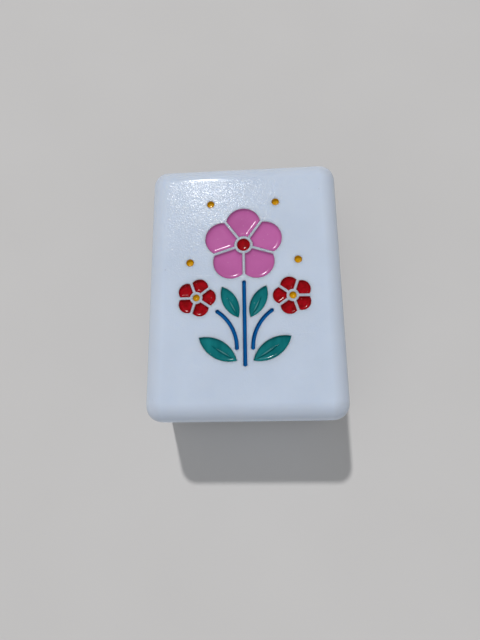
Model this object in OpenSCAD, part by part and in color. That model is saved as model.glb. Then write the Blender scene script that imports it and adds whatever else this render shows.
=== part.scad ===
// Mahjong tile: a white block with a flower engraved in its face, each cell filled with enamel.
// The back lies on z = 0, the face looks along +Z and the head of the face points along +Y.

/* [Tile] */
// Width of the tile, from side to side
tile_w = 22; // [20:0.5:34]
// Height of the tile, from foot to head
tile_h = 30; // [28:0.5:46]
// Thickness of the tile, from back to face
tile_t = 13; // [10:0.5:24]
// Radius of the tumbled edges and corners
edge_r = 1.9; // [0.8:0.1:2.2]

/* [Engraving] */
// Depth of the engraved cells
cell_depth = 0.6; // [0.55:0.05:0.9]
// White wall left standing between the petals of a blossom
petal_wall = 0.3; // [0.2:0.05:0.4]
// White gap between one figure of the flower and the next
figure_gap = 0.45; // [0.3:0.05:0.6]

/* [Enamel] */
// Thickness of the enamel in the middle of a cell's floor
floor_coat = 0.2; // [0.1:0.02:0.24]
// Thickness of the enamel on the walls of a cell
wall_coat = 0.1; // [0.06:0.01:0.12]
// Rise of the enamel from the middle of a cell's floor to its edge
meniscus = 0.12; // [0.06:0.01:0.14]
// Drop from the face to the rim of the enamel
rim_drop = 0.05; // [0.02:0.01:0.1]
// Bond line between the enamel and the wall of its cell
bond_gap = 0.02; // [0.01:0.005:0.03]

/* [Large blossom] */
// Rise of the large blossom's centre above the middle of the face
blossom_rise = 4.6; // [4:0.1:5.2]
// Reach of the large petals from the blossom's centre
petal_reach = 4.5; // [4.1:0.05:4.8]
// Radius of a large petal's round tip
petal_tip_r = 2; // [1.7:0.05:2.2]
// Radius of the large blossom's eye
eye_r = 0.75; // [0.55:0.05:0.9]

/* [Small blossoms] */
// Reach of the small petals from the blossom's centre
small_reach = 2.2; // [2:0.05:2.4]
// Radius of a small petal's round tip
small_tip_r = 1; // [0.85:0.05:1.1]
// Radius of a small blossom's eye
small_eye_r = 0.4; // [0.34:0.01:0.45]

/* [Stems] */
// Width of the stems
stem_w = 0.42; // [0.36:0.02:0.54]
// Radius of the stems' round ends as a share of their width, over a half where the cutter dwelt
stem_end_share = 0.54; // [0.52:0.01:0.6]
// Length of the main stem between the centres of its round ends
stem_len = 9.2; // [8.6:0.1:10]
// Rise of the side stems' feet above the foot of the main stem
side_stem_rise = 1.8; // [1.4:0.1:2]
// Bend radius of the side stems
side_stem_bend = 5; // [4.5:0.1:5.5]
// Sweep of the side stems, in degrees
side_stem_sweep = 55; // [50:1:60]

/* [Leaves] */
// Length of a lower leaf
leaf_len = 4.9; // [4.2:0.1:5.2]
// Width of a lower leaf
leaf_w = 2; // [1.7:0.05:2.2]
// Size of an upper leaf as a share of a lower leaf
upper_leaf_share = 0.82; // [0.72:0.01:0.88]
// Lean of the lower leaves above the level, in degrees
lower_leaf_lean = 32; // [28:1:36]
// Lean of the upper leaves above the level, in degrees
upper_leaf_lean = 63; // [60:1:66]
// Drop of the lower leaves' roots below the feet of the side stems
lower_leaf_drop = 1.4; // [1.2:0.1:1.6]
// Width of the midrib of a leaf
midrib_w = 0.3; // [0.2:0.02:0.36]
// Height of the midrib above the enamel floor
midrib_h = 0.16; // [0.1:0.02:0.2]
// Distance of the midrib from the root of its leaf as a share of the leaf
midrib_root_share = 0.06; // [0.04:0.01:0.14]
// Length of the midrib as a share of its leaf
midrib_share = 0.62; // [0.4:0.02:0.7]

/* [Dots] */
// Radius of the loose dots
dot_r = 0.43; // [0.38:0.01:0.48]
// White gap between the dots and the ring of the large petals' tips
dot_gap = 1.5; // [1.2:0.1:1.8]

/* [Hidden] */
$fn = 64;
// Facets of the large balls that hollow the enamel
fine_fn = 320;
petal_count = 5;
dot_count = 4;
sides = ["right", "left"];
levels = ["upper", "lower"];

white = [0.73, 0.78, 0.85];
pink = [0.78, 0.4, 0.64];
red = [0.66, 0.02, 0.07];
teal = [0.08, 0.47, 0.43];
blue = [0.02, 0.37, 0.63];
amber = [0.8, 0.58, 0.04];

// Cuts in the face run above it by this much
overcut = cell_depth;

// A blossom's first petal points at the head, and its petals fill equal sectors
petal_step = 360 / petal_count;
first_petal = 90;

// Unit vector at an angle on the face
function toward(angle) = [cos(angle), sin(angle)];

// The main stem rises into the valley between the two lowest petals, to the ring of their tips
blossom_at = [0, blossom_rise];
stem_top = blossom_at - [0, petal_reach];
stem_foot = stem_top - [0, stem_len];
stem_end_r = stem_end_share * stem_w;

// The right side stem leaves beside the main stem and bends outward to its small blossom
side_foot = stem_foot + [stem_w + figure_gap, side_stem_rise];
side_centre = side_foot + [side_stem_bend, 0];
side_end = side_centre + side_stem_bend * toward(180 - side_stem_sweep);
side_heading = 90 - side_stem_sweep;
small_at = side_end + (stem_end_r + figure_gap + small_reach) * toward(side_heading);

// The right lower leaf springs from below the side stem, the upper one reaches up to the petals
upper_leaf_rise = upper_leaf_share * leaf_len * sin(upper_leaf_lean);
upper_leaf_root = stem_top + [stem_w / 2 + figure_gap, -figure_gap - upper_leaf_rise];
lower_leaf_root = side_foot - [0, lower_leaf_drop];

function leaf_share(level) = level == "upper" ? upper_leaf_share : 1;

// The dots stand in a ring round the large blossom, over its upper valleys
dot_ring_r = petal_reach + dot_gap + dot_r;

function dot_at(i) =
    blossom_at + dot_ring_r * toward(first_petal + (i - (dot_count + 1) / 2) * petal_step);

// Places on the face

module on_side(side) {
    mirror([side == "left" ? 1 : 0, 0]) children();
}

module at_petal(i) {
    translate(blossom_at) rotate(first_petal + (i - 1) * petal_step) children();
}

module at_small_petal(side, i) {
    on_side(side) translate(small_at) rotate(side_heading + 180 + (i - 1 / 2) * petal_step) children();
}

module at_leaf(level, side) {
    upper = level == "upper";
    on_side(side) translate(upper ? upper_leaf_root : lower_leaf_root)
        rotate(upper ? upper_leaf_lean : lower_leaf_lean) children();
}

// Figures of the flower, each drawn inside its full size by inset

module disc(at, r, inset) {
    translate(at) circle(r - inset);
}

// Petal along +X: a sector between its walls, with a round tip and a root that follows the eye
module petal_figure(reach, tip_r, eye_r, inset) {
    half_wall = petal_wall / 2 + inset;
    apex = [half_wall / sin(petal_step / 2), 0];
    sector_len = 2 * reach;
    difference() {
        intersection() {
            polygon([
                apex,
                apex + sector_len * toward(-petal_step / 2),
                apex + sector_len * toward(petal_step / 2)
            ]);
            disc([reach - tip_r, 0], tip_r, inset);
        }
        disc([0, 0], eye_r + petal_wall, -inset);
    }
}

// Pointed leaf along +X from its root: the overlap of two large discs
module leaf_figure(length, width, inset) {
    bow_r = (length ^ 2 + width ^ 2) / (4 * width);
    intersection_for (flank = [-1, 1])
        disc([length / 2, flank * (bow_r - width / 2)], bow_r, inset);
}

module leaf_cell(level, inset) {
    leaf_figure(leaf_share(level) * leaf_len, leaf_share(level) * leaf_w, inset);
}

module main_stem_figure(inset) {
    translate((stem_top + stem_foot) / 2) square([stem_w - 2 * inset, stem_len], center = true);
    disc(stem_top, stem_end_r, inset);
    disc(stem_foot, stem_end_r, inset);
}

module side_stem_figure(side, inset) {
    sector_len = 2 * side_stem_bend;
    on_side(side) {
        intersection() {
            difference() {
                disc(side_centre, side_stem_bend + stem_w / 2, inset);
                disc(side_centre, side_stem_bend - stem_w / 2, -inset);
            }
            translate(side_centre) polygon([
                [0, 0],
                sector_len * toward(180),
                sector_len * toward(180 - side_stem_sweep)
            ]);
        }
        disc(side_foot, stem_end_r, inset);
        disc(side_end, stem_end_r, inset);
    }
}

// Prism of a figure between two depths below the face
module at_depth(top, bottom) {
    translate([0, 0, tile_t - bottom]) linear_extrude(bottom - top) children();
}

// White block

// Quarter of a disc, in the first quadrant
module quarter(r) {
    intersection() {
        circle(r);
        square(r);
    }
}

// Block with its edges and corners rounded alike: three crossed bars, a quarter round along each
// edge and an eighth of a ball in each corner
module rounded_block() {
    x = tile_w / 2 - edge_r;
    y = tile_h / 2 - edge_r;
    z = tile_t / 2 - edge_r;
    translate([0, 0, tile_t / 2]) {
        cube([tile_w, 2 * y, 2 * z], center = true);
        cube([2 * x, tile_h, 2 * z], center = true);
        cube([2 * x, 2 * y, tile_t], center = true);
        for (a = [0, 1], b = [0, 1]) {
            mirror([a, 0, 0]) mirror([0, b, 0])
                translate([x, y, -z]) linear_extrude(2 * z) quarter(edge_r);
            mirror([0, a, 0]) mirror([0, 0, b])
                translate([-x, y, z]) rotate([90, 0, 90]) linear_extrude(2 * x) quarter(edge_r);
            mirror([a, 0, 0]) mirror([0, 0, b])
                translate([x, y, z]) rotate([90, 0, 0]) linear_extrude(2 * y) quarter(edge_r);
            for (c = [0, 1])
                mirror([a, 0, 0]) mirror([0, b, 0]) mirror([0, 0, c])
                    translate([x, y, z]) rotate_extrude(angle = 90) quarter(edge_r);
        }
    }
}

module tile_block() {
    color(white) difference() {
        rounded_block();
        at_depth(-overcut, cell_depth) {
            for (i = [1:petal_count]) at_petal(i) petal_figure(petal_reach, petal_tip_r, eye_r, 0);
            disc(blossom_at, eye_r, 0);
            main_stem_figure(0);
            for (side = sides) {
                for (i = [1:petal_count])
                    at_small_petal(side, i) petal_figure(small_reach, small_tip_r, small_eye_r, 0);
                on_side(side) disc(small_at, small_eye_r, 0);
                side_stem_figure(side, 0);
                for (level = levels) at_leaf(level, side) leaf_cell(level, 0);
            }
            for (i = [1:dot_count]) disc(dot_at(i), dot_r, 0);
        }
    }
}

// Enamel

// Ball that hollows the enamel: it dips to the floor coat and rises by sag at the end of its span
module hollow(at, span, sag) {
    ball_r = (span ^ 2 + sag ^ 2) / (2 * sag);
    translate([at.x, at.y, tile_t - cell_depth + floor_coat + ball_r]) sphere(ball_r, $fn = fine_fn);
}

// Enamel in a wide cell, of an outer and an inner figure: it coats the walls and rises to them
module pool(at, span) {
    difference() {
        at_depth(rim_drop, cell_depth) children(0);
        intersection() {
            at_depth(-overcut, cell_depth) children(1);
            hollow(at, span, meniscus);
        }
    }
}

// Enamel in a narrow groove, of an outer and an inner figure: its floor is level
module trough() {
    difference() {
        at_depth(rim_drop, cell_depth) children(0);
        at_depth(-overcut, cell_depth - floor_coat) children(1);
    }
}

// Enamel in a small round cell, hollowed to a bowl
module bowl(at, r) {
    difference() {
        at_depth(rim_drop, cell_depth) disc(at, r, bond_gap);
        hollow(at, r - bond_gap - wall_coat / 2, cell_depth - floor_coat - rim_drop);
    }
}

module petal_fill(reach, tip_r, eye_r) {
    pool([reach - tip_r, 0], tip_r) {
        petal_figure(reach, tip_r, eye_r, bond_gap);
        petal_figure(reach, tip_r, eye_r, bond_gap + wall_coat);
    }
}

module petal(i) {
    color(pink) at_petal(i) petal_fill(petal_reach, petal_tip_r, eye_r);
}

module small_petal(side, i) {
    color(red) at_small_petal(side, i) petal_fill(small_reach, small_tip_r, small_eye_r);
}

module blossom_eye() {
    color(red) bowl(blossom_at, eye_r);
}

module small_eye(side) {
    color(amber) on_side(side) bowl(small_at, small_eye_r);
}

module dot(i) {
    color(amber) bowl(dot_at(i), dot_r);
}

module main_stem() {
    color(blue) trough() {
        main_stem_figure(bond_gap);
        main_stem_figure(bond_gap + wall_coat);
    }
}

module side_stem(side) {
    color(blue) trough() {
        side_stem_figure(side, bond_gap);
        side_stem_figure(side, bond_gap + wall_coat);
    }
}

// A leaf's enamel, with the midrib standing up from its floor
module leaf(level, side) {
    length = leaf_share(level) * leaf_len;
    color(teal) at_leaf(level, side) {
        pool([length / 2, 0], length / 2) {
            leaf_cell(level, bond_gap);
            leaf_cell(level, bond_gap + wall_coat);
        }
        at_depth(cell_depth - floor_coat - midrib_h, cell_depth)
            translate([midrib_root_share * length, 0]) leaf_figure(midrib_share * length, midrib_w, 0);
    }
}

tile_block();
blossom_eye();
main_stem();
for (i = [1:petal_count]) petal(i);
for (side = sides) {
    for (i = [1:petal_count])
        small_petal(side, i);
    small_eye(side);
    side_stem(side);
    for (level = levels)
        leaf(level, side);
}
for (i = [1:dot_count]) dot(i);
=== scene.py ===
# %% [markdown]
# # A mahjong tile with an engraved flower
# The tile is a small block of white melamine resin, rounded on every edge. A flower is sunk into its
# face as twenty-nine shallow cells, and each cell is lined with glossy enamel of one colour.
# The lesson follows the workshop: mould the block, cut the cells, polish it, lay the enamel, and then mix
# the finishes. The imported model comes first, because it says how large the block is and where it lies.
# It is in metres, and a tile is easier to think of in millimetres, so sizes are written as so many MM.

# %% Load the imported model
from math import asin, atan2, cos, degrees, log, pi, radians, sin, sqrt

import bmesh
import bpy
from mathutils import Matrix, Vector


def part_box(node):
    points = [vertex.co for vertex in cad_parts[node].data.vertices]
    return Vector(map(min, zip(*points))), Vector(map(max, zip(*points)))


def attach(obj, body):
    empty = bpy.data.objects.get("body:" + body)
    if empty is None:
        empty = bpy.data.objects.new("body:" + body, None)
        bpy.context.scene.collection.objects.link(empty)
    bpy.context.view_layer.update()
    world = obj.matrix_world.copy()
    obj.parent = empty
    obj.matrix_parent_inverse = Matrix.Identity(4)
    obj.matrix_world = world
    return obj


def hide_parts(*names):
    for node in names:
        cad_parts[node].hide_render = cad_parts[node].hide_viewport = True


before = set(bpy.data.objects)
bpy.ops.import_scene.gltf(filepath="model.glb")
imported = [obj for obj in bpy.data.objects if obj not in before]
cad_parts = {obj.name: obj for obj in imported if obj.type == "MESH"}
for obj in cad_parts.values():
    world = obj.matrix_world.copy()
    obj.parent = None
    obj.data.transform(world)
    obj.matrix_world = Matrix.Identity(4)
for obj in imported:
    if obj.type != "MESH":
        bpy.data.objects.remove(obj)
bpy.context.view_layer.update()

MM = 0.001
BLOCK_LOW, BLOCK_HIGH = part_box("tile_block")
BLOCK_SIZE = BLOCK_HIGH - BLOCK_LOW
BLOCK_MIDDLE = (BLOCK_LOW + BLOCK_HIGH) / 2
FACE = BLOCK_HIGH.z
print("block in mm:", [round(side / MM, 3) for side in BLOCK_SIZE])

# %% [markdown]
# ## Camera
# The tile lies on its back and is seen from almost straight above, close by and with a short lens, so
# its lower end looks wider than its upper end. Such a view could be nudged into place by eye. Here its
# place and tilt were worked out from the outline of the tile, so they are typed in as numbers. The lens
# and the sensor are in millimetres, as on a real camera, and the tilt is in degrees.

# %% Place the camera
CAMERA_AT = Vector((2.35, -15.16, 58.13)) * MM
CAMERA_TILT = (13.54, 3.787, -0.708)
SENSOR_WIDTH = 36
LENS = 24
NEAREST_SEEN = 2 * MM
bpy.ops.object.select_all(action="DESELECT")
bpy.ops.object.camera_add(location=CAMERA_AT, rotation=[radians(turn) for turn in CAMERA_TILT])
camera = bpy.context.object
camera.data.sensor_width = SENSOR_WIDTH
camera.data.lens = LENS
camera.data.clip_start = NEAREST_SEEN
bpy.context.scene.camera = camera
print("camera above the face in mm:", round((CAMERA_AT.z - FACE) / MM, 1))

# %% [markdown]
# ## Light
# One lamp shines from high behind the head of the tile, a little to the left. From there its reflection
# falls on the upper left of the face and along the upper edge, which is what shows the fine grain of the
# resin. An area lamp close by would light one end more than the other, so this is a sun, which lights all
# of the tile and the floor alike. Its angle softens the shadow and the glints.

# %% Hang the lamp
LAMP_WAY = Vector((-0.155, 0.657, 1)).normalized()
LAMP_STRENGTH = 2.0
LAMP_ANGLE = radians(2.6)
bpy.ops.object.light_add(type="SUN", rotation=LAMP_WAY.to_track_quat("Z", "Y").to_euler())
lamp = bpy.context.object
lamp.data.energy = LAMP_STRENGTH
lamp.data.angle = LAMP_ANGLE
print("lamp stands above the floor at degrees:", round(degrees(asin(LAMP_WAY.z)), 1))

# %% [markdown]
# ## Node helpers
# Every finish below is a small tree of nodes. Adding each node, setting it and wiring it takes several
# lines, so one helper does all three: an input is given a number, a colour, or the output of an earlier
# node. A node group could do the same, but plain code is easier to read from top to bottom. Two more
# helpers use it for what comes most often, a mix of two colours and a change of range.

# %% Helpers for finishes
def start_finish(name):
    finish = bpy.data.materials.new(name)
    finish.use_nodes = True
    return finish, finish.node_tree, finish.node_tree.nodes["Principled BSDF"]


def add_node(tree, kind, inputs=None, **settings):
    made = tree.nodes.new("ShaderNode" + kind)
    for key, value in settings.items():
        setattr(made, key, value)
    for key, value in (inputs or {}).items():
        if isinstance(value, bpy.types.NodeSocket):
            tree.links.new(value, made.inputs[key])
        else:
            made.inputs[key].default_value = value
    return made


def mix_colours(tree, share, first, second):
    """The Mix node's colours are its inputs 6 and 7, and its output 2."""
    inputs = {0: share, 6: first, 7: second}
    return add_node(tree, "Mix", inputs, data_type="RGBA").outputs[2]


def ramp(tree, value, start, end, low=0.0, high=1.0):
    """Low where the value is at start, high where it is at end, and even between them."""
    inputs = {0: value, 1: start, 2: end, 3: low, 4: high}
    return add_node(tree, "MapRange", inputs).outputs[0]


print("finish helpers ready")

# %% [markdown]
# ## World
# The world does two jobs. It fills the shadows with a little cool light, and it is the backdrop behind
# the floor. The fill leans up and to the front left, as if a large white card hung there: it is brighter
# from that side and dimmer from behind, where the lamp is. Soft area lamps could do this too, but would
# show as reflections. For the second job, rays that come straight from the camera or by a reflection
# see the colour of the floor instead, so that floor and backdrop run together without a dark line.

# %% Fill the shadows
FILL_COLOUR = (0.94, 0.97, 1, 1)
FILL_STRENGTH = 0.36
FILL_LEAN = (-0.15, -1.05, 0.6)
bpy.context.scene.view_settings.view_transform = "Standard"
world = bpy.data.worlds.new("studio")
world.use_nodes = True
bpy.context.scene.world = world
world_tree = world.node_tree
fill_light = world_tree.nodes["Background"]
fill_light.inputs["Color"].default_value = FILL_COLOUR
way = add_node(world_tree, "TexCoord").outputs["Generated"]
lean_inputs = {0: way, 1: FILL_LEAN}
lean = add_node(world_tree, "VectorMath", lean_inputs, operation="DOT_PRODUCT").outputs["Value"]
leaning = ramp(world_tree, lean, -1.0, 1.0, 0.0, 2 * FILL_STRENGTH)
world_tree.links.new(leaning, fill_light.inputs["Strength"])
print("fill, on average and at its strongest:", FILL_STRENGTH, 2 * FILL_STRENGTH)

# %% Show the backdrop to the rays that look at it
BACKDROP_COLOUR = (0.53, 0.515, 0.505, 1)


def calculate(tree, operation, first, second):
    return add_node(tree, "Math", {0: first, 1: second}, operation=operation).outputs[0]


backdrop = add_node(world_tree, "Background", {"Color": BACKDROP_COLOUR})
rays = add_node(world_tree, "LightPath").outputs
looking = rays["Is Camera Ray"]
for ray in ("Is Glossy Ray", "Is Transmission Ray"):
    looking = calculate(world_tree, "MAXIMUM", looking, rays[ray])
either_inputs = {0: looking, 1: fill_light.outputs[0], 2: backdrop.outputs[0]}
either = add_node(world_tree, "MixShader", either_inputs).outputs[0]
world_tree.links.new(either, world_tree.nodes["World Output"].inputs["Surface"])
print("backdrop colour:", BACKDROP_COLOUR[:3])

# %% [markdown]
# ## Floor
# The tile rests on a plain pale surface, a shade darker than the resin, so that the white edges stand
# out against it. A wide plane is enough, with a paper that is a little uneven in tone. It belongs to the
# stage and not to the tile.

# %% Lay the floor
FLOOR_SIDE = 4
PAPER_DARK = (0.51, 0.495, 0.485, 1)
PAPER_LIGHT = (0.54, 0.525, 0.515, 1)
PAPER_CLOUDS = 60.0
PAPER_ROUGHNESS = 0.85


def noise(tree, place, scale, detail=2.0):
    inputs = {"Vector": place, "Scale": scale, "Detail": detail}
    return add_node(tree, "TexNoise", inputs).outputs[0]


bpy.ops.object.select_all(action="DESELECT")
bpy.ops.mesh.primitive_plane_add(size=FLOOR_SIDE)
floor = bpy.context.object
floor.name = "floor"
paper, paper_tree, paper_shader = start_finish("pale_paper")
paper_place = add_node(paper_tree, "TexCoord").outputs["Object"]
paper_cloud = noise(paper_tree, paper_place, PAPER_CLOUDS)
paper_colour = mix_colours(paper_tree, paper_cloud, PAPER_DARK, PAPER_LIGHT)
paper_tree.links.new(paper_colour, paper_shader.inputs["Base Color"])
paper_shader.inputs["Roughness"].default_value = PAPER_ROUGHNESS
floor.data.materials.append(paper)
print("floor laid, metres:", tuple(round(side, 2) for side in floor.dimensions))

# %% [markdown]
# ## Outlines
# Every cell has a simple outline: a petal, a leaf, a stem with round ends, or a disc. The pocket, its
# rounded lip and the sloping enamel all follow the same outline, a little further out or in. Blender's
# Inset operator would shrink an outline only roughly, and corners would fold over. Each outline is made
# of arcs and straight lines, so here a function draws it at any inset exactly, always with the same
# number of points, which lets one ring be joined to the next.

# %% Arcs and lines
ARC_STEPS = 36
LINE_STEPS = 10


def arc(centre, radius, start, end, steps):
    turns = [start + (end - start) * step / steps for step in range(steps)]
    return [(centre[0] + radius * cos(turn), centre[1] + radius * sin(turn)) for turn in turns]


def line(start, end, steps):
    shares = [step / steps for step in range(steps)]
    return [tuple(a + (b - a) * share for a, b in zip(start, end)) for share in shares]


def over(point):
    """The same point on the other side of the X axis."""
    return (point[0], -point[1])


print("steps on an arc and on a line:", ARC_STEPS, LINE_STEPS)

# %% A petal, growing along +X from the middle of its blossom
PETALS = 5
PETAL_STEP = 2 * pi / PETALS
PETAL_WALL = 0.3 * MM


def on_flank(apex, centre, radius):
    """Where a petal's straight flank, which starts at apex, crosses a circle centred on the axis."""
    lean = PETAL_STEP / 2
    behind = apex - centre
    run = sqrt(radius ** 2 - (behind * sin(lean)) ** 2) - behind * cos(lean)
    return (apex + run * cos(lean), run * sin(lean))


def petal_outline(reach, tip_r, eye_r, inset):
    apex = (PETAL_WALL / 2 + inset) / sin(PETAL_STEP / 2)
    tip_at = reach - tip_r
    root_r = eye_r + PETAL_WALL + inset
    shoulder = on_flank(apex, tip_at, tip_r - inset)
    heel = on_flank(apex, 0, root_r)
    tip_turn = atan2(shoulder[1], shoulder[0] - tip_at)
    root_turn = atan2(heel[1], heel[0])
    return (
        arc((tip_at, 0), tip_r - inset, -tip_turn, tip_turn, ARC_STEPS)
        + line(shoulder, heel, LINE_STEPS)
        + arc((0, 0), root_r, root_turn, -root_turn, ARC_STEPS // 2)
        + line(over(heel), over(shoulder), LINE_STEPS)
    )


print("points on a petal:", ARC_STEPS + 2 * LINE_STEPS + ARC_STEPS // 2)

# %% A leaf between two bows, with its root at the origin and its tip on +X, and a disc
def leaf_outline(length, width, inset):
    bow_r = (length ** 2 + width ** 2) / (4 * width)
    sink = bow_r - width / 2
    bow = bow_r - inset
    tip_turn = asin(sink / bow)
    return (
        arc((length / 2, -sink), bow, tip_turn, pi - tip_turn, ARC_STEPS)
        + arc((length / 2, sink), bow, pi + tip_turn, 2 * pi - tip_turn, ARC_STEPS)
    )


def disc_outline(radius, inset):
    return arc((0, 0), radius - inset, 0, 2 * pi, ARC_STEPS)


print("points on a leaf and on a disc:", 2 * ARC_STEPS, ARC_STEPS)

# %% A stem with round ends, straight along +X, or bent to the right round a circle
STEM_W = 0.42 * MM
STEM_END_R = 0.54 * STEM_W


def stem_outline(length, inset):
    half = STEM_W / 2 - inset
    end_r = STEM_END_R - inset
    neck_turn = asin(half / end_r)
    neck = end_r * cos(neck_turn)
    return (
        line((neck, -half), (length - neck, -half), ARC_STEPS)
        + arc((length, 0), end_r, neck_turn - pi, pi - neck_turn, ARC_STEPS // 2)
        + line((length - neck, half), (neck, half), ARC_STEPS)
        + arc((0, 0), end_r, neck_turn, 2 * pi - neck_turn, ARC_STEPS // 2)
    )


def bent_stem_outline(bend, sweep, inset):
    bent = []
    for along, aside in stem_outline(bend * sweep, inset):
        on_path = min(max(along, 0), bend * sweep)
        turn = on_path / bend
        beyond = along - on_path
        radius = bend + aside
        bent.append((
            bend - radius * cos(turn) + beyond * sin(turn),
            radius * sin(turn) + beyond * cos(turn),
        ))
    return bent


print("points on a stem:", 3 * ARC_STEPS)

# %% [markdown]
# ## The nine figures
# The flower needs twenty-nine cells but only nine different figures. Each is modelled once at the
# origin and then copied to its places. Drawing every cell where it lies would take three times the work,
# and like cells could come out unlike. The sizes are the pattern maker's, in millimetres.

# %% Name the figures
PETAL = dict(reach=4.5 * MM, tip_r=2 * MM, eye_r=0.75 * MM)
SMALL_PETAL = dict(reach=2.2 * MM, tip_r=1 * MM, eye_r=0.4 * MM)
STEM_LENGTH = 9.2 * MM
SIDE_BEND = 5 * MM
SIDE_SWEEP = radians(55)
LEAF = dict(length=4.9 * MM, width=2 * MM)
UPPER_SHARE = 0.82
UPPER_LEAF = {side: size * UPPER_SHARE for side, size in LEAF.items()}
DOT_R = 0.43 * MM

FIGURES = {
    "petal": lambda inset: petal_outline(inset=inset, **PETAL),
    "small_petal": lambda inset: petal_outline(inset=inset, **SMALL_PETAL),
    "eye": lambda inset: disc_outline(PETAL["eye_r"], inset),
    "small_eye": lambda inset: disc_outline(SMALL_PETAL["eye_r"], inset),
    "main_stem": lambda inset: stem_outline(STEM_LENGTH, inset),
    "side_stem": lambda inset: bent_stem_outline(SIDE_BEND, SIDE_SWEEP, inset),
    "upper_leaf": lambda inset: leaf_outline(inset=inset, **UPPER_LEAF),
    "lower_leaf": lambda inset: leaf_outline(inset=inset, **LEAF),
    "dot": lambda inset: disc_outline(DOT_R, inset),
}
print("figures:", len(FIGURES))

# %% [markdown]
# ## Where the figures go
# The layout is built up the way a pattern maker would draw it: the large blossom first, the stem under
# it, then the side stems, leaves and small blossoms on the right. The left half is the right half
# turned over. Working from one point to the next keeps the gaps even, where typed places would drift.

# %% Lay out the right half
FIGURE_GAP = 0.45 * MM
BLOSSOM = Vector((0, 4.6 * MM))
STEM_TOP = BLOSSOM - Vector((0, PETAL["reach"]))
STEM_FOOT = STEM_TOP - Vector((0, STEM_LENGTH))
BESIDE_STEM = STEM_W / 2 + FIGURE_GAP
SIDE_STEM_RISE = 1.8 * MM
LOWER_LEAF_DROP = 1.4 * MM
UPPER_LEAN = radians(63)
LOWER_LEAN = radians(32)


def toward(turn):
    return Vector((cos(turn), sin(turn)))


side_foot = STEM_FOOT + Vector((BESIDE_STEM + STEM_W / 2, SIDE_STEM_RISE))
side_heading = pi / 2 - SIDE_SWEEP
side_end = side_foot + SIDE_BEND * Vector((1 - cos(SIDE_SWEEP), sin(SIDE_SWEEP)))
small_blossom = side_end + (STEM_END_R + FIGURE_GAP + SMALL_PETAL["reach"]) * toward(side_heading)
upper_rise = UPPER_LEAF["length"] * sin(UPPER_LEAN)
upper_root = STEM_TOP + Vector((BESIDE_STEM, -FIGURE_GAP - upper_rise))
lower_root = side_foot - Vector((0, LOWER_LEAF_DROP))
print("small blossom in mm:", [round(place / MM, 3) for place in small_blossom])

# %% List every cell: the node it stands for, its figure, its turn, its place, and its side
RIGHT, LEFT = 1, -1
CELLS = [
    ("blossom_eye", "eye", 0, BLOSSOM, RIGHT),
    ("main_stem", "main_stem", pi / 2, STEM_FOOT, RIGHT),
]
for petal in range(PETALS):
    CELLS.append((f"petal_{petal + 1}", "petal", pi / 2 + petal * PETAL_STEP, BLOSSOM, RIGHT))
for side, hand in (("right", RIGHT), ("left", LEFT)):
    for petal in range(PETALS):
        turn = side_heading + pi + (petal + 0.5) * PETAL_STEP
        CELLS.append((f"{side}_petal_{petal + 1}", "small_petal", turn, small_blossom, hand))
    CELLS.append((f"{side}_eye", "small_eye", 0, small_blossom, hand))
    CELLS.append((f"{side}_stem", "side_stem", 0, side_foot, hand))
    CELLS.append((f"upper_{side}_leaf", "upper_leaf", UPPER_LEAN, upper_root, hand))
    CELLS.append((f"lower_{side}_leaf", "lower_leaf", LOWER_LEAN, lower_root, hand))
DOTS = 4
DOT_GAP = 1.5 * MM
DOT_RING = PETAL["reach"] + DOT_GAP + DOT_R
for dot in range(DOTS):
    turn = pi / 2 + (dot - (DOTS - 1) / 2) * PETAL_STEP
    CELLS.append((f"dot_{dot + 1}", "dot", 0, BLOSSOM + DOT_RING * toward(turn), RIGHT))
print("cells:", len(CELLS))

# %% [markdown]
# ## Extruding from ring to ring
# Cutters and enamel are both stacks of rings. A filled circle is added with as many points as the
# outline has, its points are moved onto the outline, and the face is extruded once for each next ring.
# Each point carries its number as an attribute, which the extrusion copies, so every new point knows
# its place on the next outline. Bridging separate loops would also work, but can twist.

# %% Helpers that pick one piece and turn its faces outwards
def only(piece):
    bpy.ops.object.select_all(action="DESELECT")
    piece.select_set(True)
    bpy.context.view_layer.objects.active = piece


def face_outwards(piece):
    only(piece)
    bpy.ops.object.mode_set(mode="EDIT")
    bpy.ops.mesh.select_all(action="SELECT")
    bpy.ops.mesh.normals_make_consistent(inside=False)
    bpy.ops.object.mode_set(mode="OBJECT")


print("picking helpers ready")

# %% A helper that stacks rings, each given by its outline and its level
def move_ring(piece, outline, level):
    mesh = bmesh.from_edit_mesh(piece.data)
    number = mesh.verts.layers.int["number"]
    for vert in mesh.verts:
        if vert.select:
            vert.co = (*outline[vert[number]], level)
    bmesh.update_edit_mesh(piece.data)


def stack_rings(name, rings):
    points = len(rings[0][0])
    bpy.ops.object.select_all(action="DESELECT")
    bpy.ops.mesh.primitive_circle_add(vertices=points, fill_type="NGON")
    piece = bpy.context.object
    piece.name = name
    numbers = piece.data.attributes.new("number", "INT", "POINT")
    numbers.data.foreach_set("value", range(points))
    bpy.ops.object.mode_set(mode="EDIT")
    bpy.ops.mesh.select_all(action="SELECT")
    move_ring(piece, *rings[0])
    for ring in rings[1:]:
        bpy.ops.mesh.extrude_region()
        move_ring(piece, *ring)
    bpy.ops.object.mode_set(mode="OBJECT")
    piece.data.attributes.remove(piece.data.attributes["number"])
    face_outwards(piece)
    return piece


print("stacking helper ready")

# %% Helpers that copy a figure to its place, turned over for the left half, and clear models away
def copy_to(model, name, turn, place, hand):
    only(model)
    bpy.ops.object.duplicate()
    piece = bpy.context.object
    piece.name = name
    piece.rotation_euler.z = turn
    piece.location = (*place, 0)
    bpy.ops.object.transform_apply()
    if hand == LEFT:
        piece.scale.x = -1
        bpy.ops.object.transform_apply()
        face_outwards(piece)
    return piece


def tip_away(models):
    for model in models:
        bpy.data.objects.remove(model)


print("copying helpers ready")

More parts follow.
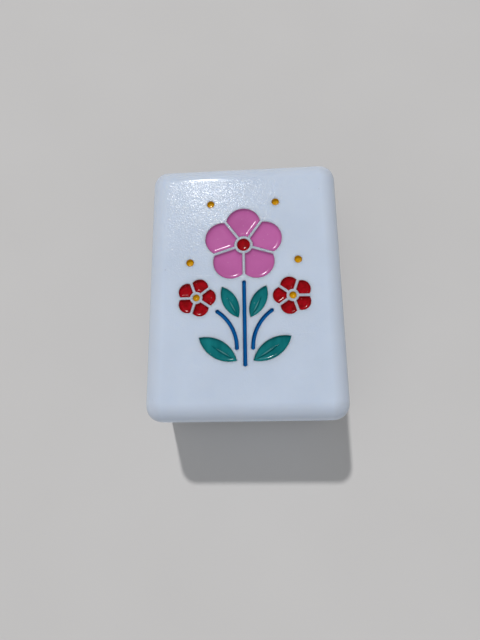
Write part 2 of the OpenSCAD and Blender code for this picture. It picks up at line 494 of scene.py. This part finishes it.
# %% [markdown]
# ## The white block
# The real block is moulded and then tumbled, which rounds all twelve edges and softens the corners. A
# cube with the Bevel operator gives just that. A profile of 0.5 would be a quarter circle. Tumbling wears
# an edge a little further into the flats than that and leaves it a touch fuller, so both are set so here.
# A Bevel modifier would do as well, but the cells are cut into the finished block, so the rounding has
# to be real first.

# %% Mould the block
EDGE_RUN = 2.0 * MM
EDGE_PROFILE = 0.53
EDGE_SEGMENTS = 18
bpy.ops.object.select_all(action="DESELECT")
bpy.ops.mesh.primitive_cube_add(size=1, location=BLOCK_MIDDLE, scale=BLOCK_SIZE)
block = bpy.context.object
block.name = "white_block"
bpy.ops.object.transform_apply()
bpy.ops.object.mode_set(mode="EDIT")
bpy.ops.mesh.select_all(action="SELECT")
bpy.ops.mesh.bevel(offset=EDGE_RUN, segments=EDGE_SEGMENTS, profile=EDGE_PROFILE, affect="EDGES")
bpy.ops.object.mode_set(mode="OBJECT")
print("block faces:", len(block.data.polygons))

# %% [markdown]
# ## Cutting the cells
# A cell has upright walls and a flat floor, and its lip is softly rounded where the tumbling reached
# it. The lip is what catches a thin line of light round every cell. It could be bevelled after the cut,
# but bevels near such tight corners fail easily. Instead the cutter is flared at the top, by turns of a
# quarter circle given in degrees, so that one Boolean cut leaves wall and lip together.

# %% Make the nine cutters
CELL_DEPTH = 0.6 * MM
LIP_R = 0.08 * MM
LIP_TURNS = (0, 22, 44, 62, 78)
JUST_OVER = 0.05 * LIP_R
OVERCUT = 0.3 * MM


def cutter_rings(outline):
    rings = [(outline(0), FACE - CELL_DEPTH)]
    for turn in LIP_TURNS:
        flare = LIP_R * (1 - cos(radians(turn)))
        rings.append((outline(-flare), FACE - LIP_R + LIP_R * sin(radians(turn))))
    rings.append((outline(-LIP_R), FACE + JUST_OVER))
    rings.append((outline(-LIP_R), FACE + OVERCUT))
    return rings


cutters = {name: stack_rings("cutter", cutter_rings(outline)) for name, outline in FIGURES.items()}
print("cutters:", len(cutters))

# %% Cut all the cells at once
def combine(piece, tool, operation):
    """Apply a Boolean with the tool to the piece, and clear the tool away."""
    only(piece)
    bpy.ops.object.modifier_add(type="BOOLEAN")
    boolean = piece.modifiers[-1]
    boolean.operation = operation
    boolean.solver = "EXACT"
    boolean.object = tool
    bpy.ops.object.modifier_apply(modifier=boolean.name)
    tip_away([tool])


placed = [copy_to(cutters[figure], "cut", turn, place, hand) for _, figure, turn, place, hand in CELLS]
tip_away(cutters.values())
only(placed[0])
for cut in placed:
    cut.select_set(True)
bpy.ops.object.join()
combine(block, bpy.context.object, "DIFFERENCE")
print("engraved block faces:", len(block.data.polygons))

# %% [markdown]
# ## Polish
# The engraved block is buffed, so that its flats stay even and run softly into the rounds. Shade Smooth
# alone would bend the light on a flat, because the flat shares its normals with the rounding beside it
# and with the lips of the cells. Its edges could be marked sharp by hand, but that leaves a hard line.
# Here only steep edges stay sharp, and a Weighted Normal modifier lets the large faces win.

# %% Polish the block
SMOOTH_UNDER = radians(35)


def polish(piece):
    only(piece)
    bpy.ops.object.shade_smooth_by_angle(angle=SMOOTH_UNDER)
    bpy.ops.object.modifier_add(type="WEIGHTED_NORMAL")
    weighted = piece.modifiers[-1]
    weighted.keep_sharp = True
    bpy.ops.object.modifier_apply(modifier=weighted.name)


polish(block)
print("block polished, edges smooth under degrees:", round(degrees(SMOOTH_UNDER)))

# %% [markdown]
# ## Enamel
# Enamel is laid wet into a cell and creeps up its wall before it dries. Seen in section it is a shallow
# pan: a thin rim just under the lip, a slope that is steep at the wall and soon runs out, and a level
# floor. That slope is what turns a far side bright and a near side dark. A plain inset would give a flat
# step and a quarter round would end too suddenly. A liquid's own curve falls by the same share over
# every equal step from the wall, so the rings are set at given shares of the rise. How fast the slope
# runs out, and how far in the last ring may lie, depend on the figure and are given in millimetres.

# %% The section of the enamel
RIM_DROP = 0.05 * MM
FLOOR_DROP = 0.36 * MM
CREEP = 0.005 * MM
RISE_SHARES = (1, 0.8, 0.62, 0.47, 0.35, 0.25, 0.17, 0.11, 0.065, 0.035, 0.015)
RUN_OUT = dict(
    petal=0.13, small_petal=0.10, eye=0.14, small_eye=0.11, main_stem=0.08, side_stem=0.08,
    upper_leaf=0.11, lower_leaf=0.12, dot=0.07,
)
FURTHEST_IN = dict(
    petal=0.9, small_petal=0.5, eye=0.6, small_eye=0.36, main_stem=0.18, side_stem=0.18,
    upper_leaf=0.6, lower_leaf=0.7, dot=0.38,
)


def enamel_rings(figure):
    outline = FIGURES[figure]
    rings = [(outline(CREEP), FACE - CELL_DEPTH)]
    for share in RISE_SHARES:
        inset = CREEP - RUN_OUT[figure] * MM * log(share)
        if inset < FURTHEST_IN[figure] * MM:
            rings.append((outline(inset), FACE - FLOOR_DROP + (FLOOR_DROP - RIM_DROP) * share))
    return rings


print("rings of enamel:", {figure: len(enamel_rings(figure)) for figure in FIGURES})

# %% Fill one cell of each figure
fills = {figure: stack_rings("fill", enamel_rings(figure)) for figure in FIGURES}
print("faces of enamel:", {figure: len(fill.data.polygons) for figure, fill in fills.items()})

# %% [markdown]
# ## Midribs
# Each leaf has a raised midrib that starts at its root, tapers and dies out before the tip. It stands up
# from the floor of the cell and the enamel runs over it. A crease in the floor could be pulled up, but
# the floor is one large face. So the midrib is a slim leaf outline of its own, stacked into a soft ridge,
# and a Boolean union grows it into the fill so that no seam is left. Each of its rings is given as two
# shares: how far in it lies, of half the width, and how high, of the height over the floor.

# %% Grow a midrib into each leaf
MIDRIB_W = 0.36 * MM
MIDRIB_H = 0.2 * MM
MIDRIB_TOP = FACE - FLOOR_DROP + MIDRIB_H
MIDRIB_SHARE = 0.62
MIDRIB_ROOT_SHARE = 0.06
MIDRIB_STEPS = ((0, -0.5), (0, 0.12), (0.2, 0.42), (0.4, 0.68), (0.58, 0.86), (0.74, 0.96), (0.88, 1))
SAME_POINT = 0.0002 * MM


def add_midrib(fill, leaf):
    length = leaf["length"] * MIDRIB_SHARE
    start = leaf["length"] * MIDRIB_ROOT_SHARE
    rings = []
    for share, rise in MIDRIB_STEPS:
        outline = leaf_outline(length, MIDRIB_W, share * MIDRIB_W / 2)
        outline = [(start + along, aside) for along, aside in outline]
        rings.append((outline, FACE - FLOOR_DROP + rise * MIDRIB_H))
    combine(fill, stack_rings("midrib", rings), "UNION")
    bpy.ops.object.mode_set(mode="EDIT")
    bpy.ops.mesh.select_all(action="SELECT")
    bpy.ops.mesh.remove_doubles(threshold=SAME_POINT)
    bpy.ops.object.mode_set(mode="OBJECT")


add_midrib(fills["upper_leaf"], UPPER_LEAF)
add_midrib(fills["lower_leaf"], LEAF)
print("leaf faces:", len(fills["lower_leaf"].data.polygons))

# %% [markdown]
# ## Into the cells
# The nine fills become twenty-nine, one for each cell, each with a mesh of its own. Linked copies would
# be lighter, but their place has to be in the mesh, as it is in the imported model. At the end each fill
# is measured against the node that it stands for, to see that none has strayed.

# %% Copy the fills to their cells
enamels = {}
for node, figure, turn, place, hand in CELLS:
    enamels[node] = copy_to(fills[figure], node + "_enamel", turn, place, hand)
    polish(enamels[node])
tip_away(fills.values())


def corner_gap(piece, node):
    """How far the piece's box strays from its node's box, sideways."""
    low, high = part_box(node)
    corners = [vert.co for vert in piece.data.vertices]
    strays = []
    for axis in range(2):
        strays.append(min(corner[axis] for corner in corners) - low[axis])
        strays.append(max(corner[axis] for corner in corners) - high[axis])
    return max(abs(stray) for stray in strays)


worst = max(CELLS, key=lambda cell: corner_gap(enamels[cell[0]], cell[0]))[0]
print("furthest from its node:", worst, round(corner_gap(enamels[worst], worst) / MM, 3), "mm")

# %% [markdown]
# ## White resin
# Melamine is hard, slightly cloudy and cool white, and light goes a little way into it. The flat faces
# were lapped on fine abrasive, which leaves an orange-peel grain and a few long scratches that show in
# the glare. The rounds were tumbled and are smoother, and so is a narrow worn strip of the flats beside
# them, which carries the bright streak. A few specks sit in the resin. The grain could be modelled, but
# at a few hundredths of a millimetre a bump is better. Flats, worn strips and rounds could be separate
# materials, but then they would meet in a hard line, so they are told apart by place. On each axis a
# share says how near the surface has come to a side of the block. The three shares add up to one on a
# flat, to more on a round and to less inside a cell. The rounds are painted a little darker and greyer,
# as painted shade that deepens as the rounding turns away from the flat.

# %% Find the flats
EDGE_WEAR = 0.25 * MM
ONE_SIDE, TWO_SIDES = 1.0, 2.0
SUNK, LEVEL_WITH_SIDE = 0.985, 0.997
resin, resin_tree, resin_shader = start_finish("white_resin")
resin_place = add_node(resin_tree, "TexCoord").outputs["Object"]
middle_inputs = {0: resin_place, 1: BLOCK_MIDDLE}
from_middle = add_node(resin_tree, "VectorMath", middle_inputs, operation="SUBTRACT").outputs[0]
away = add_node(resin_tree, "VectorMath", {0: from_middle}, operation="ABSOLUTE").outputs[0]
away_on = add_node(resin_tree, "SeparateXYZ", {0: away}).outputs


def reached(start, end):
    """How far the surface has come from start to end, both counted inwards, added up over the axes."""
    total = 0.0
    for axis in range(3):
        half = BLOCK_SIZE[axis] / 2
        share = ramp(resin_tree, away_on[axis], half - start, half - end)
        total = calculate(resin_tree, "ADD", total, share)
    return total


roundness = reached(EDGE_RUN, 0)
not_worn = ramp(resin_tree, reached(EDGE_RUN + EDGE_WEAR, EDGE_RUN), TWO_SIDES, ONE_SIDE)
not_sunk = ramp(resin_tree, roundness, SUNK, LEVEL_WITH_SIDE)
flat = calculate(resin_tree, "MINIMUM", not_worn, not_sunk)
print("flats found by place, rounding and worn strip in mm:", EDGE_RUN / MM, EDGE_WEAR / MM)

# %% Colour the resin
COOL_WHITE = (0.528, 0.59, 0.69, 1)
MILKY_WHITE = (0.55, 0.612, 0.712, 1)
# The darker grey below is painted shade for the rounds.
ROUND_SHADE_GREY = (0.458, 0.502, 0.58, 1)
SPECK = (0.34, 0.36, 0.40, 1)
CLOUD_SCALE, CLOUD_DETAIL = 210.0, 3.0
CLEAR, MILKY = 0.35, 0.65
SPECK_SCALE = 430.0
SPECK_EDGE, SPECK_HEART, SPECK_SHARE = 0.045, 0.02, 0.5
ROUND_SHADE_FROM, ROUND_SHADE_TO = 1.05, 1.6
milky = ramp(resin_tree, noise(resin_tree, resin_place, CLOUD_SCALE, CLOUD_DETAIL), CLEAR, MILKY)
resin_colour = mix_colours(resin_tree, milky, COOL_WHITE, MILKY_WHITE)
speck_inputs = {"Vector": resin_place, "Scale": SPECK_SCALE}
specks = add_node(resin_tree, "TexVoronoi", speck_inputs).outputs["Distance"]
speckled = ramp(resin_tree, specks, SPECK_EDGE, SPECK_HEART, 0.0, SPECK_SHARE)
resin_colour = mix_colours(resin_tree, speckled, resin_colour, SPECK)
# Painted shade: the rounds turn darker and greyer the further the rounding turns away from the flat.
round_shade = ramp(resin_tree, roundness, ROUND_SHADE_FROM, ROUND_SHADE_TO)
resin_colour = mix_colours(resin_tree, round_shade, resin_colour, ROUND_SHADE_GREY)
resin_tree.links.new(resin_colour, resin_shader.inputs["Base Color"])
print("resin coloured, cool and milky white:", COOL_WHITE[:3], MILKY_WHITE[:3])

# %% Let light into the resin
RESIN_BODY = {
    "Subsurface Weight": 0.9,
    "Subsurface Radius": (1, 0.9, 0.8),
    "Subsurface Scale": 1.6 * MM,
    "Specular IOR Level": 0.035,
}
for socket, value in RESIN_BODY.items():
    resin_shader.inputs[socket].default_value = value
print("light goes in, mm:", RESIN_BODY["Subsurface Scale"] / MM)

# %% Grain and gloss of the resin
GRAIN_SCALE, GRAIN_DETAIL = 5800.0, 1.0
GRAIN_HEIGHT = 0.0235 * MM
ROUND_GRAIN, FLAT_GRAIN = 0.06, 0.8
SCRATCH_TURN = radians(7)
SCRATCH_STRETCH = (110, 2600, 900)
SCRATCH_EDGE, SCRATCH_HEART, SCRATCH_SHARE = 0.77, 0.83, 0.4
RUBBED_SCALE, RUBBED_DETAIL = 600.0, 4.0
DULL_FROM, DULL_TO = 0.3, 0.7
RESIN_SMOOTH, RESIN_DULL = 0.085, 0.115


def bump(tree, height, strength, distance):
    inputs = {"Height": height, "Strength": strength, "Distance": distance}
    return add_node(tree, "Bump", inputs).outputs[0]


grain = noise(resin_tree, resin_place, GRAIN_SCALE, GRAIN_DETAIL)
drawn_inputs = {"Vector": resin_place, "Rotation": (0, 0, SCRATCH_TURN), "Scale": SCRATCH_STRETCH}
drawn_place = add_node(resin_tree, "Mapping", drawn_inputs).outputs[0]
drawn = noise(resin_tree, drawn_place, scale=1.0, detail=0.0)
scratches = ramp(resin_tree, drawn, SCRATCH_EDGE, SCRATCH_HEART, 0.0, SCRATCH_SHARE)
scratched = calculate(resin_tree, "ADD", grain, scratches)
grain_strength = ramp(resin_tree, flat, 0.0, 1.0, ROUND_GRAIN, FLAT_GRAIN)
grain_bump = bump(resin_tree, scratched, grain_strength, GRAIN_HEIGHT)
resin_tree.links.new(grain_bump, resin_shader.inputs["Normal"])
rubbed = noise(resin_tree, resin_place, RUBBED_SCALE, RUBBED_DETAIL)
dull = ramp(resin_tree, rubbed, DULL_FROM, DULL_TO, RESIN_SMOOTH, RESIN_DULL)
resin_tree.links.new(dull, resin_shader.inputs["Roughness"])
block.data.materials.clear()
block.data.materials.append(resin)
print("resin finished, nodes:", len(resin_tree.nodes))

# %% [markdown]
# ## Enamel colours
# The five enamels differ only in colour and in how cloudy they dried. Where a coat is thin the white
# under it shines through, so the colour turns paler near the rim. On the crest of a midrib the coat is
# thin too, and the paler colour there is also a painted highlight along the crest. Both could be painted
# on by hand, but height tells them well: the rim lies highest, and a crest is what lies level at the
# height of the midribs. Specks of dust sank in before the enamel dried, and a slow ripple breaks up the
# reflections. One function makes all five.

# %% Let white shine through where the coat is thin, and paint a highlight on the midrib crests
THIN_FROM = FACE - 0.12 * MM
THIN_SHARE = 0.35
CREST_FROM = MIDRIB_TOP - 0.06 * MM
CREST_PALE_AND_HIGHLIGHT_SHARE = 0.14
SLOPING, LEVEL = 0.72, 0.9


def pale_where_thin_and_crest_highlight(tree, coordinates, colour, pale):
    height = add_node(tree, "SeparateXYZ", {0: coordinates["Object"]}).outputs[2]
    upright = add_node(tree, "SeparateXYZ", {0: coordinates["Normal"]}).outputs[2]
    # On the level crests of the midribs the paler colour is a thinner coat and a painted highlight.
    crest = ramp(tree, upright, SLOPING, LEVEL, 0.0, CREST_PALE_AND_HIGHLIGHT_SHARE)
    rib = ramp(tree, height, CREST_FROM, MIDRIB_TOP, 0.0, crest)
    colour = mix_colours(tree, rib, colour, pale)
    rim = ramp(tree, height, THIN_FROM, FACE - RIM_DROP, 0.0, THIN_SHARE)
    return mix_colours(tree, rim, colour, pale)


print("rim turns paler over mm:", round((FACE - RIM_DROP - THIN_FROM) / MM, 3))

# %% Sink dust into the coat
DUST_SCALE = 1700.0
DUST_EDGE, DUST_HEART, DUST_SHARE = 0.16, 0.05, 0.16
CLEAN, DUSTY = 0.5, 0.6


def sink_dust(tree, place, colour, pale):
    """Every Voronoi cell has a random colour, and only the redder half of the cells get a speck."""
    dust = add_node(tree, "TexVoronoi", {"Vector": place, "Scale": DUST_SCALE}).outputs
    red = add_node(tree, "SeparateXYZ", {0: dust["Color"]}).outputs[0]
    chosen = ramp(tree, red, CLEAN, DUSTY)
    speck = ramp(tree, dust["Distance"], DUST_EDGE, DUST_HEART, 0.0, chosen)
    return mix_colours(tree, ramp(tree, speck, 0.0, 1.0, 0.0, DUST_SHARE), colour, pale)


print("dust cells to a millimetre:", DUST_SCALE * MM)

# %% Mix an enamel
ENAMEL_DETAIL = 4.0
DEEP_FROM, LIGHT_FROM = 0.35, 0.68
RIPPLE_SCALE, RIPPLE_STRENGTH, RIPPLE_HEIGHT = 1500.0, 0.5, 0.008 * MM
ENAMEL_SMOOTH, ENAMEL_DULL = 0.09, 0.17
ENAMEL_SPECULAR = 0.085


def mix_enamel(name, deep, light, cloud_scale, stretch):
    enamel, tree, shader = start_finish(name)
    coordinates = add_node(tree, "TexCoord").outputs
    place = coordinates["Object"]
    drawn = add_node(tree, "Mapping", {"Vector": place, "Scale": stretch}).outputs[0]
    clouds = noise(tree, drawn, cloud_scale, ENAMEL_DETAIL)
    halfway_to_white = tuple(0.5 * part + 0.5 for part in light[:3]) + (1,)
    colour = mix_colours(tree, ramp(tree, clouds, DEEP_FROM, LIGHT_FROM), deep, light)
    colour = pale_where_thin_and_crest_highlight(tree, coordinates, colour, halfway_to_white)
    colour = sink_dust(tree, place, colour, halfway_to_white)
    tree.links.new(colour, shader.inputs["Base Color"])
    ripple = bump(tree, noise(tree, place, RIPPLE_SCALE), RIPPLE_STRENGTH, RIPPLE_HEIGHT)
    tree.links.new(ripple, shader.inputs["Normal"])
    dull = ramp(tree, clouds, DULL_FROM, DULL_TO, ENAMEL_SMOOTH, ENAMEL_DULL)
    tree.links.new(dull, shader.inputs["Roughness"])
    shader.inputs["Specular IOR Level"].default_value = ENAMEL_SPECULAR
    return enamel


print("enamel ripples, mm high:", RIPPLE_HEIGHT / MM)

# %% Mix the five enamels: deep tone, light tone, scale of the clouds, and how they are drawn out
EVEN = (1, 1, 1)
DRAWN = (1, 0.35, 1)
MIXTURES = {
    "pink_enamel": ((0.415, 0.102, 0.292, 1), (0.47, 0.119, 0.336, 1), 300.0, EVEN),
    "red_enamel": ((0.2, 0.0005, 0.002, 1), (0.35, 0.001, 0.007, 1), 2400.0, EVEN),
    "teal_enamel": ((0.001, 0.116, 0.126, 1), (0.006, 0.172, 0.182, 1), 900.0, DRAWN),
    "blue_enamel": ((0.0005, 0.081, 0.262, 1), (0.001, 0.104, 0.316, 1), 700.0, EVEN),
    "amber_enamel": ((0.5, 0.25, 0.001, 1), (0.58, 0.305, 0.002, 1), 900.0, EVEN),
}
FINISHES = {name: mix_enamel(name, *mixture) for name, mixture in MIXTURES.items()}
FINISH_OF = dict(
    petal="pink_enamel", small_petal="red_enamel", eye="red_enamel", small_eye="amber_enamel",
    main_stem="blue_enamel", side_stem="blue_enamel", upper_leaf="teal_enamel",
    lower_leaf="teal_enamel", dot="amber_enamel",
)
print("enamels mixed:", len(FINISHES))

# %% [markdown]
# ## Handing over
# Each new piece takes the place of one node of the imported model, rides with the tile and names the
# finish it takes. One joined piece would be quicker, but then no fill could be picked out or recoloured
# by itself. The tile has no moving parts, so there is one body.

# %% Stand each piece in for its node
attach(block, "root")
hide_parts("tile_block")
for node, figure, _, _, _ in CELLS:
    piece = enamels[node]
    piece.data.materials.clear()
    piece.data.materials.append(FINISHES[FINISH_OF[figure]])
    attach(piece, "root")
    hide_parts(node)
print("pieces:", 1 + len(enamels))
